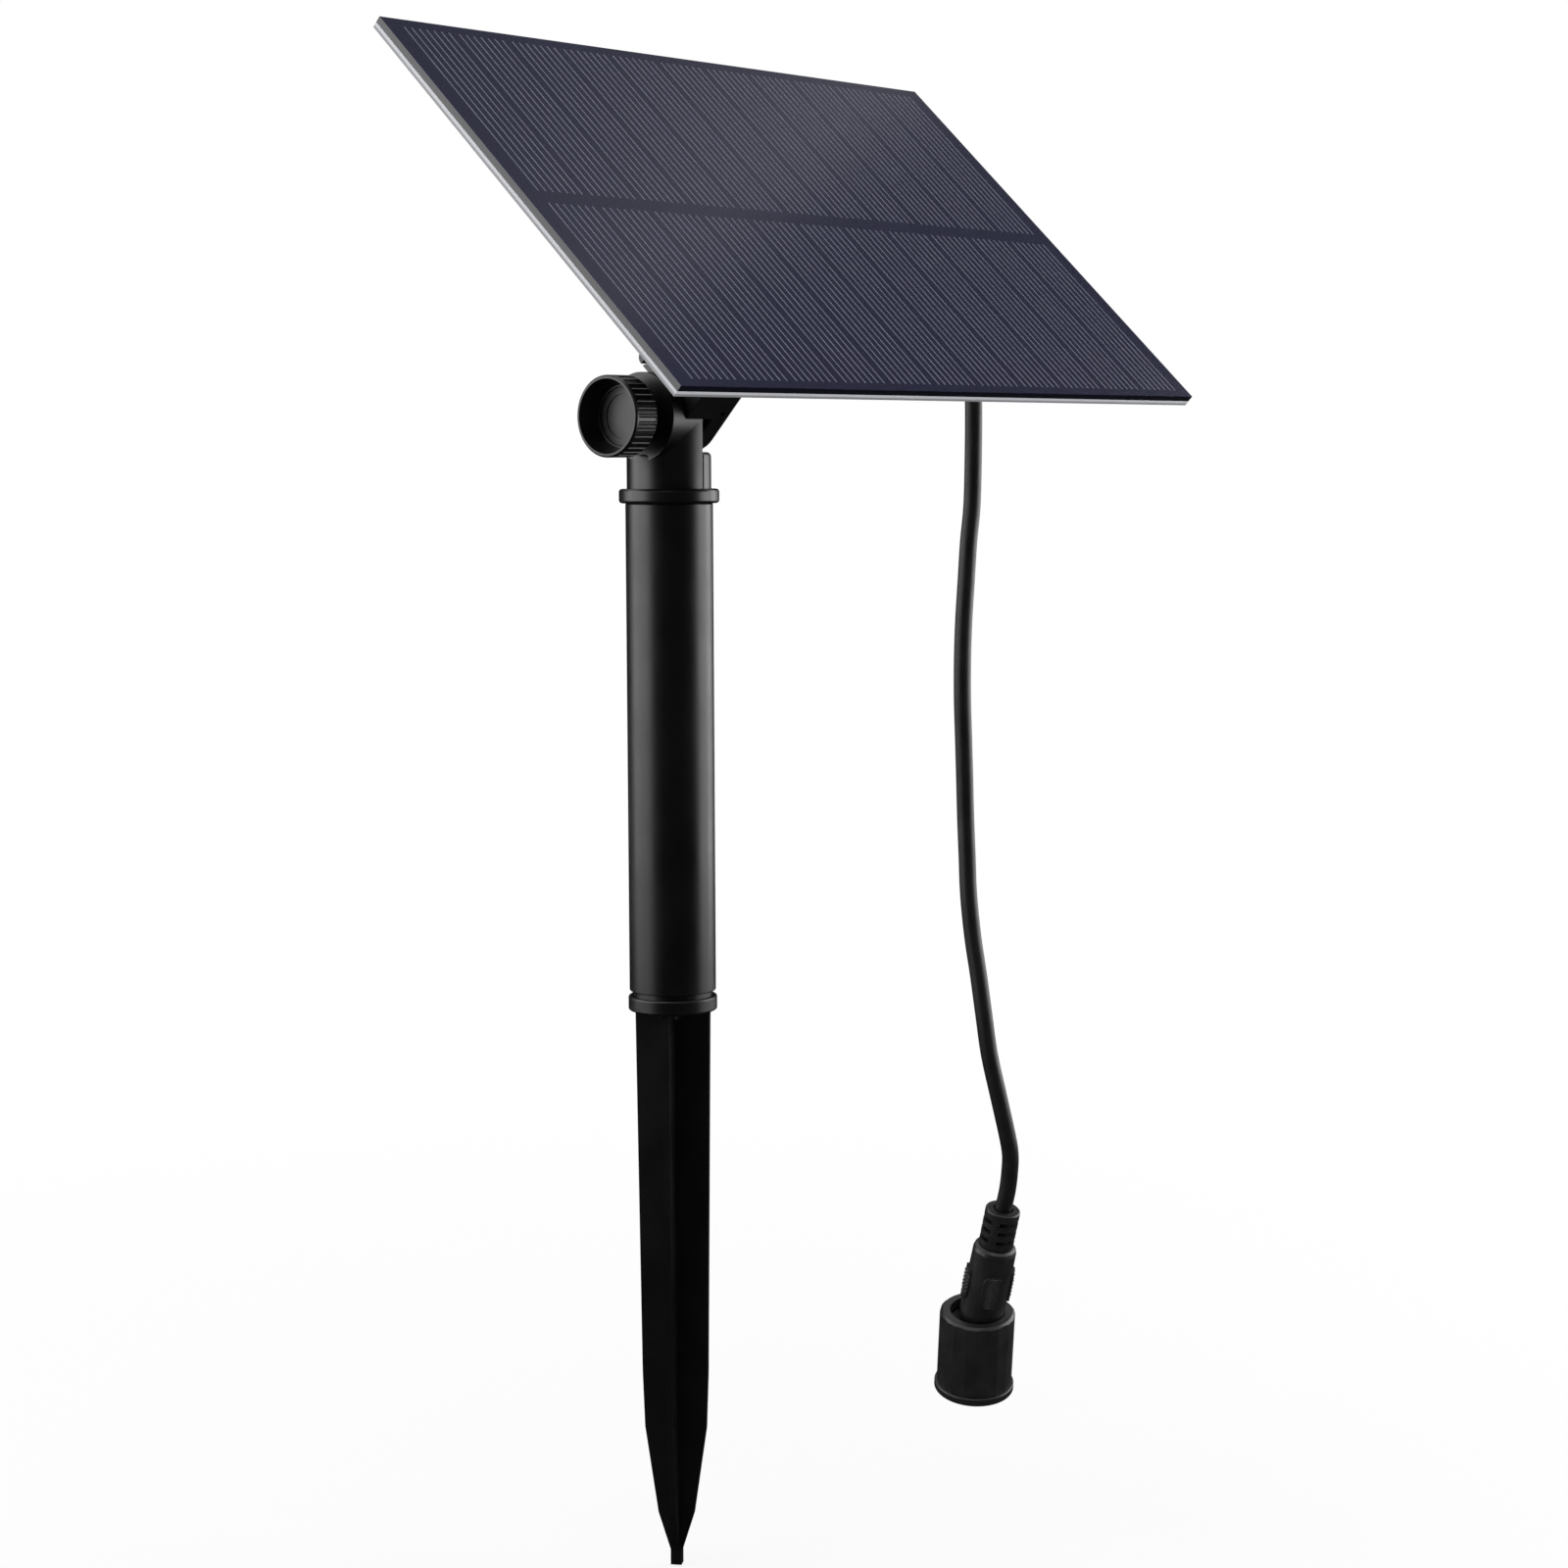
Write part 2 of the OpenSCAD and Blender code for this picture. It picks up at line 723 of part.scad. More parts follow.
module pole_tube() {
    color([0.12, 0.12, 0.13])
        difference() {
            translate([0, 0, tube_low]) rounded_band(pole_r, tube_top - tube_low, 0.3);
            translate([0, 0, tube_low - over]) cylinder(h = tube_top - tube_low + 2 * over, r = tube_in_r);
        }
}

// Half outline of the spike's blades, from the ground line to the point
function blade_half() = [
    [blade_span + blade_flare, 0], [blade_span, -2.5 * blade_flare],
    [blade_span * 0.89, -spike_l * blade_low],
    [blade_span * 0.835, -spike_l * blade_waist], [blade_span * 0.485, -spike_l * blade_neck],
    [tip_half, tip_l - spike_l]
];

module blade() {
    half = blade_half();
    mirrored = [for (i = [len(half) - 1 : -1 : 0]) [-half[i][0], half[i][1]]];
    rotate([90, 0, 0]) linear_extrude(blade_t, center = true) polygon(concat(half, mirrored));
}

module ground_spike() {
    color([0.12, 0.12, 0.13])
        difference() {
            union() {
                rounded_band(spike_collar_r, spike_collar_h, 0.5);
                translate([0, 0, spike_collar_h - eps]) cylinder(h = groove_h + eps, r = tube_in_r + 0.6);
                translate([0, 0, tube_low - eps]) cylinder(h = plug_l + eps, r = plug_r);
                rotate([0, 0, blade_turn]) {
                    for (i = [0, 90]) rotate([0, 0, i]) blade();
                    // thick root where the blades cross, drawn to a square point
                    rotate([0, 0, 45]) translate([-root_half, -root_half, -spike_l * blade_neck])
                        cube([2 * root_half, 2 * root_half, spike_l * blade_neck]);
                    translate([-tip_half, -tip_half, -spike_l]) cube([2 * tip_half, 2 * tip_half, 2 * tip_l]);
                    // webs that stiffen the blades under the collar
                    for (i = [0 : 90 : 270]) rotate([0, 0, i]) blade_root();
                }
            }
            translate([0, 0, tube_low + 4]) cylinder(h = plug_l, r = core_hole_r);
        }
}

// A small rounded web in each blade's top corner
module blade_root() {
    root = 2.4;
    translate([blade_t / 2 - eps, blade_t / 2 - eps, -root]) difference() {
        cube([root, root, root]);
        translate([root, root, -over]) cylinder(h = root + 2 * over, r = root);
    }
}

// ---------- lead ----------

function cable_points() = concat(
    [cable_start() - [cable_inside, 0, 0]],
    [for (p = cable_way) cable_start() + p],
    [cable_end() - mouth_d * lean_axis(plug_lean, plug_way)]
);

function tangent(p, i) =
    i == 0 ? unit(p[1] - p[0]) :
    i == len(p) - 1 ? lean_axis(plug_lean, plug_way) * -1 :
    unit(unit(p[i + 1] - p[i]) + unit(p[i] - p[i - 1]));

function ring(p, i) =
    let (t = tangent(p, i), u = unit(cross(t, [0, 1, 0])), v = cross(u, t))
    [for (k = [0 : cable_sides - 1])
        p[i] + cable_r * (cos(k * 360 / cable_sides) * u + sin(k * 360 / cable_sides) * v)];

module cable() {
    p = cable_points();
    n = len(p);
    s = cable_sides;
    points = [for (i = [0 : n - 1]) each ring(p, i)];
    walls = [for (i = [0 : n - 2], k = [0 : s - 1])
        each [
            [i * s + k, (i + 1) * s + k, (i + 1) * s + (k + 1) % s],
            [i * s + k, (i + 1) * s + (k + 1) % s, i * s + (k + 1) % s]
        ]];
    ends = [[for (k = [0 : s - 1]) k], [for (k = [s - 1 : -1 : 0]) (n - 1) * s + k]];
    color([0.12, 0.12, 0.13]) polyhedron(points, concat(walls, ends));
}

module connector_boot() {
    color([0.12, 0.12, 0.13])
        in_plug() difference() {
            translate([0, 0, -boot_l]) rounded_band(boot_r, boot_l, 0.6);
            translate([0, 0, -mouth_d]) cylinder(h = mouth_d + over, r = mouth_r);
            for (i = [0 : boot_slots - 1])
                translate([0, 0, -boot_l + 2.2 + i * slot_pitch]) difference() {
                    cylinder(h = slot_w, r = boot_r + over);
                    translate([0, 0, -over]) cylinder(h = slot_w + 2 * over, r = slot_core_r);
                    rotate([0, 0, 35]) translate([-spine_w / 2, -2 * boot_r, -over])
                        cube([spine_w, 4 * boot_r, slot_w + 2 * over]);
                }
        }
}

// Outline of the connector's body, as a turned profile that runs down the axis
module body_profile(extra) {
    polygon([
        [0, -boot_l], [shoulder_r - 1.1 + extra, -boot_l], [shoulder_r - 0.3 + extra, -boot_l - 0.5],
        [shoulder_r + extra, -boot_l - 1.5], [body_r + extra, -nut_top + 0.5],
        [body_r + extra, -nut_top], [0, -nut_top]
    ]);
}

module connector_body() {
    pad_mid = nut_top - pad_up - pad_l / 2;
    color([0.13, 0.13, 0.14])
        in_plug() difference() {
            union() {
                rotate_extrude() body_profile(0);
                // oval grip pads round the lower half
                intersection() {
                    rotate_extrude() body_profile(pad_out);
                    for (i = [0 : pad_count - 1])
                        rotate([0, 0, i * 360 / pad_count + 66]) translate([0, 0, -pad_mid])
                            rotate([0, 90, 0]) linear_extrude(2 * body_r) {
                                square([pad_l - pad_w, pad_w], center = true);
                                for (y = [-1, 1])
                                    translate([y * (pad_l - pad_w) / 2, 0]) circle(pad_w / 2);
                            }
                }
                translate([0, 0, -flange_top - eps]) cylinder(h = flange_top - nut_top + 2 * eps, r = body_r - 0.4);
                translate([0, 0, -flange_top - flange_t]) cylinder(h = flange_t, r = flange_r);
                translate([0, 0, -nose_end]) cylinder(h = nose_end - flange_top, r = nose_r);
            }
            translate([0, 0, -nose_end - over]) cylinder(h = core_l + over, r = core_r);
        }
}

module connector_core() {
    color([0.9, 0.89, 0.85])
        in_plug() translate([0, 0, -nose_end + 0.6]) difference() {
            cylinder(h = core_l - 0.6, r = core_r);
            translate([0, 0, -over]) cylinder(h = core_l - 1.6 + over, r = barrel_r);
        }
}

module contact_barrel() {
    color([0.82, 0.8, 0.74])
        in_plug() translate([0, 0, -nose_end - barrel_out]) difference() {
            cylinder(h = barrel_out + core_l - 1, r = barrel_r);
            translate([0, 0, -over]) cylinder(h = barrel_bore_l + over, r = barrel_bore_r);
        }
}

module seal_ring() {
    color([0.55, 0.2, 0.15])
        in_plug() translate([0, 0, -flange_top - flange_t - seal_wire_r])
            rotate_extrude() translate([nose_r + seal_wire_r, 0]) circle(seal_wire_r, $fn = 32);
}

// Corners of the nut: each wide flat is followed by a narrow one
function nut_corners() = [
    for (i = [0 : nut_flats - 1], s = [-1, 1])
        let (a = (i + s * wide_flat_share / 2) * 360 / nut_flats)
        nut_r * [cos(a), sin(a)]
];

module locking_nut() {
    color([0.13, 0.13, 0.14])
        in_nut() difference() {
            union() {
                intersection() {
                    translate([0, 0, -nut_l]) linear_extrude(nut_l) polygon(nut_corners());
                    translate([0, 0, -nut_l]) cylinder(h = nut_l - 0.7 + eps, r = nut_r + over);
                }
                intersection() {
                    translate([0, 0, -1]) linear_extrude(1) polygon(nut_corners());
                    translate([0, 0, -1]) cylinder(h = 1, r1 = nut_r + 0.3, r2 = nut_r - 0.7);
                }
                translate([0, 0, -nut_l]) rounded_band(nut_foot_r, nut_foot_h, 0.5);
            }
            translate([0, 0, -lip_t - eps]) cylinder(h = lip_t + over, r = lip_r);
            translate([0, 0, -nut_l - over]) cylinder(h = nut_l - lip_t + over, r = nut_bore_r);
        }
}

front_sheet();
solar_cells();
backing_board();
junction_box();
box_seal();
box_lid();
box_screws();
terminal_board();
blocking_diode();
gland_body();
gland_cap();
gland_locknut();
bracket();
bracket_screws();
clamp_bolt();
friction_washer();
clamp_knob();
knob_insert();
knob_cap();
stake_head();
pole_tube();
ground_spike();
cable();
connector_boot();
connector_body();
connector_core();
contact_barrel();
seal_ring();
locking_nut();
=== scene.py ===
"""Solar panel of a garden fountain pump on its clamp bracket, pole and spike, with its hanging lead."""

import json
from math import cos, pi, radians, sin

import bmesh
import bpy
from mathutils import Matrix, Vector


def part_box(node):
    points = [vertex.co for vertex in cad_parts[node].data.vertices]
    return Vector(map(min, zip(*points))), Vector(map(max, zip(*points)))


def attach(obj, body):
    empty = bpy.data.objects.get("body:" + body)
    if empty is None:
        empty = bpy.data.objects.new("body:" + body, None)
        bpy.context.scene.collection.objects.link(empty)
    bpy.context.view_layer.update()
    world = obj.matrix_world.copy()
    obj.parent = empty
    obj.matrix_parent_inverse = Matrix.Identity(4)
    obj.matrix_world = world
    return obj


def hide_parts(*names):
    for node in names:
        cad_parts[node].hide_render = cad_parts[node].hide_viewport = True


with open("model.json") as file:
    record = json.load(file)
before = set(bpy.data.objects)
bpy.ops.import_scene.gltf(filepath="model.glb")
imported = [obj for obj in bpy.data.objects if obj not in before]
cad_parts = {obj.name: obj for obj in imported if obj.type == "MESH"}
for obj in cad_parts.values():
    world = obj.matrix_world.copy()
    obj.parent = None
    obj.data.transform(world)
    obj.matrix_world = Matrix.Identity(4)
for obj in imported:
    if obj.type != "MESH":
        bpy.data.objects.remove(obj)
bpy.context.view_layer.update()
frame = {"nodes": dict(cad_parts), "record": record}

MM = 0.001

# ---------- places that the frame gives ----------

joints = {j["name"]: j for j in frame["record"]["behaviour"]["joints"]}
pivot = Vector(joints["panel_tilt"]["pos_m"])
gland_nose = Vector(joints["cable_hang"]["pos_m"])
ground_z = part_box("ground_spike")[0][2]

panel_tilt = radians(43)     # slope of the panel at rest
face_rise = 66 * MM          # from the tilt axis to the panel's face
panel_mid = -2.7 * MM        # panel's middle, up the slope from the tilt axis
panel_frame = Matrix.Translation(pivot) @ Matrix.Rotation(panel_tilt, 4, "X")
panel_normal = (panel_frame.to_3x3() @ Vector((0, 0, 1))).normalized()


def on_panel(across, up):
    """A point on the panel's face, in metres from the face's middle."""
    return panel_frame @ Vector((across, panel_mid + up, face_rise))


# ---------- camera ----------

# Where the photograph was taken from, which way it looks, and its right-hand side
view_from = Vector((-588.0, -528.2, 140.5)) * MM
view_along = Vector((0.76337, 0.63746, -0.10447)).normalized()
view_right = Vector((0.64065, -0.76782, -0.00380)).normalized()
sensor_mm = 36
lens_mm = 72


def make_camera():
    data = bpy.data.cameras.new("camera")
    data.sensor_width = sensor_mm
    data.lens = lens_mm
    camera = bpy.data.objects.new("camera", data)
    turn = Matrix((view_right, (-view_along).cross(view_right), -view_along)).transposed()
    camera.matrix_world = Matrix.Translation(view_from) @ turn.to_4x4()
    bpy.context.collection.objects.link(camera)
    bpy.context.scene.camera = camera


make_camera()

# ---------- materials ----------


def srgb(code):
    """Linear colour of an sRGB hex value such as '#1a1b1c'."""
    parts = [int(code[i:i + 2], 16) / 255 for i in (1, 3, 5)]
    return [p / 12.92 if p <= 0.04045 else ((p + 0.055) / 1.055) ** 2.4 for p in parts] + [1.0]


def add(tree, kind, inputs=None, **settings):
    """Adds one node, with its settings, and its inputs as values or as links from other sockets."""
    made = tree.nodes.new(kind)
    for name, value in settings.items():
        setattr(made, name, value)
    for name, value in (inputs or {}).items():
        if isinstance(value, bpy.types.NodeSocket):
            tree.links.new(value, made.inputs[name])
        else:
            made.inputs[name].default_value = value
    return made


def new_material(name):
    material = bpy.data.materials.new(name)
    material.use_nodes = True
    material.node_tree.nodes.clear()
    return material, material.node_tree


def finish_surface(tree, shader):
    add(tree, "ShaderNodeOutputMaterial", {"Surface": shader.outputs[0]})


def grain(tree, where, size_mm, detail=3.0):
    """Noise whose blotches are about size_mm across."""
    return add(tree, "ShaderNodeTexNoise", {"Vector": where, "Scale": 1 / (size_mm * MM), "Detail": detail})


def spread(tree, value, low, high):
    """Stretches the middle of a noise from low to high."""
    return add(tree, "ShaderNodeMapRange",
               {"Value": value, "From Min": 0.3, "From Max": 0.7, "To Min": low, "To Max": high})


def two_tone(tree, factor, dark, light):
    return add(tree, "ShaderNodeMix", {0: factor, 6: srgb(dark), 7: srgb(light)}, data_type="RGBA")


def solid_finish(name, dark, light, rough, patch_mm, grain_mm, depth_mm, shader=None):
    """A finish that varies softly over patch_mm, with a fine grain of depth_mm in its surface."""
    smoother, rougher = 0.06, 0.08
    scuff_mm = 2.2 * patch_mm
    material, tree = new_material(name)
    where = add(tree, "ShaderNodeTexCoord").outputs["Object"]
    patches = grain(tree, where, patch_mm)
    fine = grain(tree, where, grain_mm, 2.0)
    scuffs = add(tree, "ShaderNodeTexNoise", {"Vector": where, "Scale": 1 / (scuff_mm * MM),
                                              "Detail": 8.0, "Roughness": 0.75})
    tone = two_tone(tree, spread(tree, patches.outputs["Fac"], 0.0, 1.0).outputs[0], dark, light)
    gloss = spread(tree, scuffs.outputs["Fac"], rough - smoother, rough + rougher)
    bump = add(tree, "ShaderNodeBump", {"Height": fine.outputs["Fac"], "Strength": 0.5,
                                        "Distance": depth_mm * MM})
    settings = {"Base Color": tone.outputs[2], "Roughness": gloss.outputs[0], "Normal": bump.outputs[0]}
    settings.update(shader or {})
    finish_surface(tree, add(tree, "ShaderNodeBsdfPrincipled", settings))
    return material


metal = {"Metallic": 1.0}

# Moulded ABS of the bracket, knob, pole and spike: spark-eroded satin, so its highlights are soft bands.
stake_abs = solid_finish("moulded_black_abs", "#050506", "#0b0b0c", 0.33, 14, 0.35, 0.012)
# The connector's nylon is moulded in a smoother tool, and handling leaves it a little duller in patches.
connector_nylon = solid_finish("moulded_black_nylon", "#161617", "#202022", 0.36, 5, 0.25, 0.01)
# Polypropylene of the junction box and its lid: plain matt black with a coarser grain.
box_polypropylene = solid_finish("grained_black_polypropylene", "#101012", "#19191b", 0.5, 12, 0.5, 0.02)
# Nylon of the cable gland, turned dark by carbon black against sunlight.
gland_nylon = solid_finish("black_gland_nylon", "#0d0d0e", "#17171a", 0.45, 6, 0.3, 0.012)
# PVC jacket of the cable: smooth, slightly rubbery, with long soft highlights.
cable_pvc = solid_finish("extruded_black_pvc", "#0e0e0f", "#18181a", 0.42, 7, 0.3, 0.008)
# EPDM of the seals and of the friction washer.
seal_rubber = solid_finish("black_epdm_rubber", "#161616", "#222221", 0.75, 4, 0.2, 0.02)
# Stainless steel screws and bolt, turned bright.
screw_steel = solid_finish("bright_stainless_steel", "#b3b3b6", "#cbcbcd", 0.28, 3, 0.12, 0.003, metal)
# Brass insert in the knob, turned and slightly dulled.
insert_brass = solid_finish("turned_brass", "#c79a4a", "#dbb566", 0.33, 3, 0.15, 0.003, metal)
# Nickel plating of the contact barrel.
contact_nickel = solid_finish("nickel_plated_brass", "#c3beb2", "#d8d4c9", 0.2, 3, 0.1, 0.002, metal)
# Pale polyamide insulator round the contact.
core_polyamide = solid_finish("pale_polyamide", "#d6d2c6", "#e4e1d8", 0.45, 4, 0.2, 0.006)
# Circuit board with its green solder mask, and the moulded epoxy of the diode.
circuit_board = solid_finish("green_solder_mask", "#174f2a", "#1f6236", 0.35, 5, 0.2, 0.004)
diode_epoxy = solid_finish("black_epoxy", "#0e0e0e", "#171717", 0.5, 3, 0.15, 0.008)


def panel_coordinates(tree):
    """Object coordinates turned so that X runs across the panel, Y up its slope and Z out of its face."""
    where = add(tree, "ShaderNodeTexCoord").outputs["Object"]
    back = panel_frame.inverted()
    return add(tree, "ShaderNodeMapping", {"Vector": where, "Location": back.to_translation(),
                                           "Rotation": back.to_euler()}).outputs[0]


def laminate_finish():
    """Clear epoxy laminate over blue-grey silicon: a dark glossy face, black at its sawn edges."""
    crystal_mm, cloud_mm, wave_mm, dust_mm = 9, 30, 24, 0.5
    edge_depth = 0.15 * MM       # the sawn edge turns black this far below the face
    peel_depth = 0.02 * MM
    material, tree = new_material("epoxy_laminate_over_silicon")
    where = panel_coordinates(tree)
    height = add(tree, "ShaderNodeSeparateXYZ", {"Vector": where}).outputs["Z"]
    crystals = add(tree, "ShaderNodeTexVoronoi", {"Vector": where, "Scale": 1 / (crystal_mm * MM)})
    clouds = grain(tree, where, cloud_mm)
    mixed = add(tree, "ShaderNodeMath", {0: crystals.outputs["Distance"], 1: clouds.outputs["Fac"]},
                operation="MULTIPLY")
    face = two_tone(tree, spread(tree, mixed.outputs[0], 0.0, 1.0).outputs[0], "#26273d", "#2b2c43")
    at_face = add(tree, "ShaderNodeMapRange", {"Value": height, "From Min": face_rise - edge_depth,
                                               "From Max": face_rise - 0.5 * edge_depth})
    tone = add(tree, "ShaderNodeMix", {0: at_face.outputs[0], 6: srgb("#0b0c16"), 7: face.outputs[2]},
               data_type="RGBA")
    waves = grain(tree, where, wave_mm, 1.0)
    orange_peel = add(tree, "ShaderNodeBump", {"Height": waves.outputs["Fac"], "Strength": 0.25,
                                               "Distance": peel_depth})
    dust = grain(tree, where, dust_mm, 6.0)
    gloss = spread(tree, dust.outputs["Fac"], 0.14, 0.2)
    finish_surface(tree, add(tree, "ShaderNodeBsdfPrincipled", {
        "Base Color": tone.outputs[2], "Roughness": gloss.outputs[0], "Normal": orange_peel.outputs[0],
        "IOR": 1.5}))
    return material


def board_finish():
    """Sawn edge of pale glass-fibre board: bright resin over a greyer core, with its fibres showing."""
    layer_mid = face_rise - 2.35 * MM        # where the bright resin meets the greyer core
    layer_blur = 0.1 * MM
    saw_depth = 0.02 * MM
    fibre_mm, fine_mm = 3, 0.3
    weave_share = 0.25
    material, tree = new_material("sawn_glass_fibre_board")
    where = panel_coordinates(tree)
    height = add(tree, "ShaderNodeSeparateXYZ", {"Vector": where}).outputs["Z"]
    upper = add(tree, "ShaderNodeMapRange", {"Value": height, "From Min": layer_mid - layer_blur,
                                             "From Max": layer_mid + layer_blur})
    layers = two_tone(tree, upper.outputs[0], "#85858a", "#bdbfc4")
    fibres = add(tree, "ShaderNodeTexWave", {"Vector": where, "Scale": 1 / (fibre_mm * MM),
                                             "Distortion": 1.5, "Detail": 2.0})
    weave = two_tone(tree, spread(tree, fibres.outputs["Fac"], 0.0, 0.12).outputs[0], "#ffffff", "#8c8c90")
    tone = add(tree, "ShaderNodeMix", {0: weave_share, 6: layers.outputs[2], 7: weave.outputs[2]},
               data_type="RGBA", blend_type="MULTIPLY")
    fine = grain(tree, where, fine_mm)
    bump = add(tree, "ShaderNodeBump", {"Height": fine.outputs["Fac"], "Strength": 0.4,
                                        "Distance": saw_depth})
    gloss = spread(tree, fine.outputs["Fac"], 0.4, 0.52)
    finish_surface(tree, add(tree, "ShaderNodeBsdfPrincipled", {
        "Base Color": tone.outputs[2], "Roughness": gloss.outputs[0], "Normal": bump.outputs[0]}))
    return material


laminate = laminate_finish()
board_fibre = board_finish()
# Silicon cells, seen only if the laminate is lifted off.
cell_silicon = solid_finish("etched_silicon", "#1b1d33", "#262842", 0.3, 9, 0.4, 0.004)
# Silver paste printed as contact fingers, dulled by the laminate over it.
finger_silver = solid_finish("printed_silver_paste", "#6a6b80", "#757688", 0.3, 6, 0.3, 0.004)

finish_of_slot = {
    "laminate": laminate, "cell": cell_silicon, "board": board_fibre, "box_plastic": box_polypropylene,
    "seal_rubber": seal_rubber, "screw_steel": screw_steel, "circuit_board": circuit_board,
    "diode_epoxy": diode_epoxy, "gland_plastic": gland_nylon, "stake_plastic": stake_abs,
    "insert_brass": insert_brass, "cable_jacket": cable_pvc, "connector_plastic": connector_nylon,
    "core_plastic": core_polyamide, "contact_metal": contact_nickel,
}


def dress_nodes():
    """Gives every carried-over solid the finish that its slot names."""
    for part in frame["record"]["subparts"]:
        solid = frame["nodes"][part["node"]]
        solid.data.materials.clear()
        solid.data.materials.append(finish_of_slot[part["material_slot"]])


dress_nodes()

# ---------- lead ----------

cable_d = 4.5 * MM
plug_lean = radians(18)      # lean of the connector from the vertical
plug_way = radians(-109)     # compass angle that its cable end leans towards
mouth_depth = 1 * MM         # how far the cable runs into the boot's mouth
gland_depth = 3 * MM         # how far it runs into the gland

# The cable's way down from the gland's nose, in millimetres from that nose
cable_way = [
    [0, 0, 0], [6.5, 0, -1], [12, 0, -4.5], [16, 0, -9.5], [18, 0, -15.5],
    [18.5, 0, -26], [18.5, 0, -37], [18, 0, -52], [16.5, 0, -62], [15.5, 0, -72],
    [14.5, 0, -82], [14, 0, -92], [14, 0, -102], [14.5, 0, -112], [15, 0, -122],
    [15.5, 0, -133], [15.5, -0.5, -143], [15.5, -1, -153], [16, -2, -164], [16.5, -3.5, -174],
    [17, -5, -185], [18, -6, -195], [20, -7.5, -206], [22.5, -8.5, -216.5],
    [24, -8.5, -222], [25.2, -7.5, -227], [26, -6.2, -232.5], [26.5, -4.5, -237.8],
]
cable_end = gland_nose + Vector(cable_way[-1]) * MM
plug_frame = (Matrix.Translation(cable_end) @ Matrix.Rotation(plug_way, 4, "Z")
              @ Matrix.Rotation(plug_lean, 4, "Y"))
plug_axis = (plug_frame.to_3x3() @ Vector((0, 0, 1))).normalized()


def smooth_route(points, steps=4):
    """Points on a curve that passes through the given ones without corners."""
    ends = [points[0] * 2 - points[1]] + points + [points[-1] * 2 - points[-2]]
    route = []
    for a, b, c, d in zip(ends, ends[1:], ends[2:], ends[3:]):
        for k in range(steps):
            t = k / steps
            route.append(0.5 * (2 * b + (c - a) * t + (2 * a - 5 * b + 4 * c - d) * t * t
                                + (3 * b - 3 * c + d - a) * t ** 3))
    return route + [points[-1]]


def make_cable():
    """The cable as one round curve, from just inside the gland to just inside the boot."""
    points = ([gland_nose - Vector((gland_depth, 0, 0))] + [gland_nose + Vector(p) * MM for p in cable_way]
              + [cable_end - plug_axis * mouth_depth])
    route = smooth_route(points)
    curve = bpy.data.curves.new("lead_cable", "CURVE")
    curve.dimensions = "3D"
    curve.bevel_depth = cable_d / 2
    curve.bevel_resolution = 6
    curve.use_fill_caps = True
    spline = curve.splines.new("POLY")
    spline.points.add(len(route) - 1)
    for place, point in zip(spline.points, route):
        place.co = (*point, 1)
    curve.materials.append(cable_pvc)
    cable = bpy.data.objects.new("lead_cable", curve)
    bpy.context.collection.objects.link(cable)
    length = sum((b - a).length for a, b in zip(route, route[1:]))
    return cable, length


lead_cable, cable_length = make_cable()
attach(lead_cable, "lead")
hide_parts("cable")


def turned(name, profile, place, material, sides=48):
    """A closed solid of revolution about its local Z, from a profile of (radius, height) in metres."""
    mesh = bmesh.new()
    rings = [[mesh.verts.new((r * cos(2 * pi * k / sides), r * sin(2 * pi * k / sides), z))
              for k in range(sides)] for r, z in profile]
    for low, high in zip(rings, rings[1:] + rings[:1]):
        for k in range(sides):
            mesh.faces.new((low[k], low[(k + 1) % sides], high[(k + 1) % sides], high[k]))
    mesh.transform(place)
    bmesh.ops.recalc_face_normals(mesh, faces=mesh.faces)
    data = bpy.data.meshes.new(name)
    mesh.to_mesh(data)
    mesh.free()
    for face in data.polygons:
        face.use_smooth = True
    data.materials.append(material)
    piece = bpy.data.objects.new(name, data)
    bpy.context.collection.objects.link(piece)
    return piece


def make_gland_sleeve():
    """The gland's rubber seal, which stands out of its nose and tapers down to the cable."""
    wall = cable_d / 2 + 0.05 * MM           # a hair's breadth off the cable
    profile = [(wall, -1.5 * MM), (wall + 0.7 * MM, -1.5 * MM), (wall + 0.7 * MM, 0.4 * MM),
               (wall + 0.35 * MM, 1.8 * MM), (wall + 0.1 * MM, 2.2 * MM), (wall, 2.2 * MM)]
    place = Matrix.Translation(gland_nose) @ Matrix.Rotation(pi / 2, 4, "Y")
    sleeve = turned("gland_sleeve", profile, place, seal_rubber)
    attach(sleeve, "panel")


make_gland_sleeve()

# ---------- what repeats ----------


def number_input(tree, name, kind="NodeSocketFloat"):
    return tree.interface.new_socket(name=name, in_out="INPUT", socket_type=kind)


def run_tree(name, tree, values, place):
    """Evaluates a geometry tree with named values and returns its plain mesh, put in its place."""
    holder = bpy.data.objects.new(name, bpy.data.meshes.new(name + "_start"))
    bpy.context.collection.objects.link(holder)
    maker = holder.modifiers.new("maker", "NODES")
    maker.node_group = tree
    sockets = {s.name: s.identifier for s in tree.interface.items_tree if s.in_out == "INPUT"}
    for label, value in values.items():
        maker[sockets[label]] = value
    depsgraph = bpy.context.evaluated_depsgraph_get()
    mesh = bpy.data.meshes.new_from_object(holder.evaluated_get(depsgraph))
    bpy.data.objects.remove(holder)
    mesh.transform(place)
    mesh.name = name
    piece = bpy.data.objects.new(name, mesh)
    bpy.context.collection.objects.link(piece)
    return piece


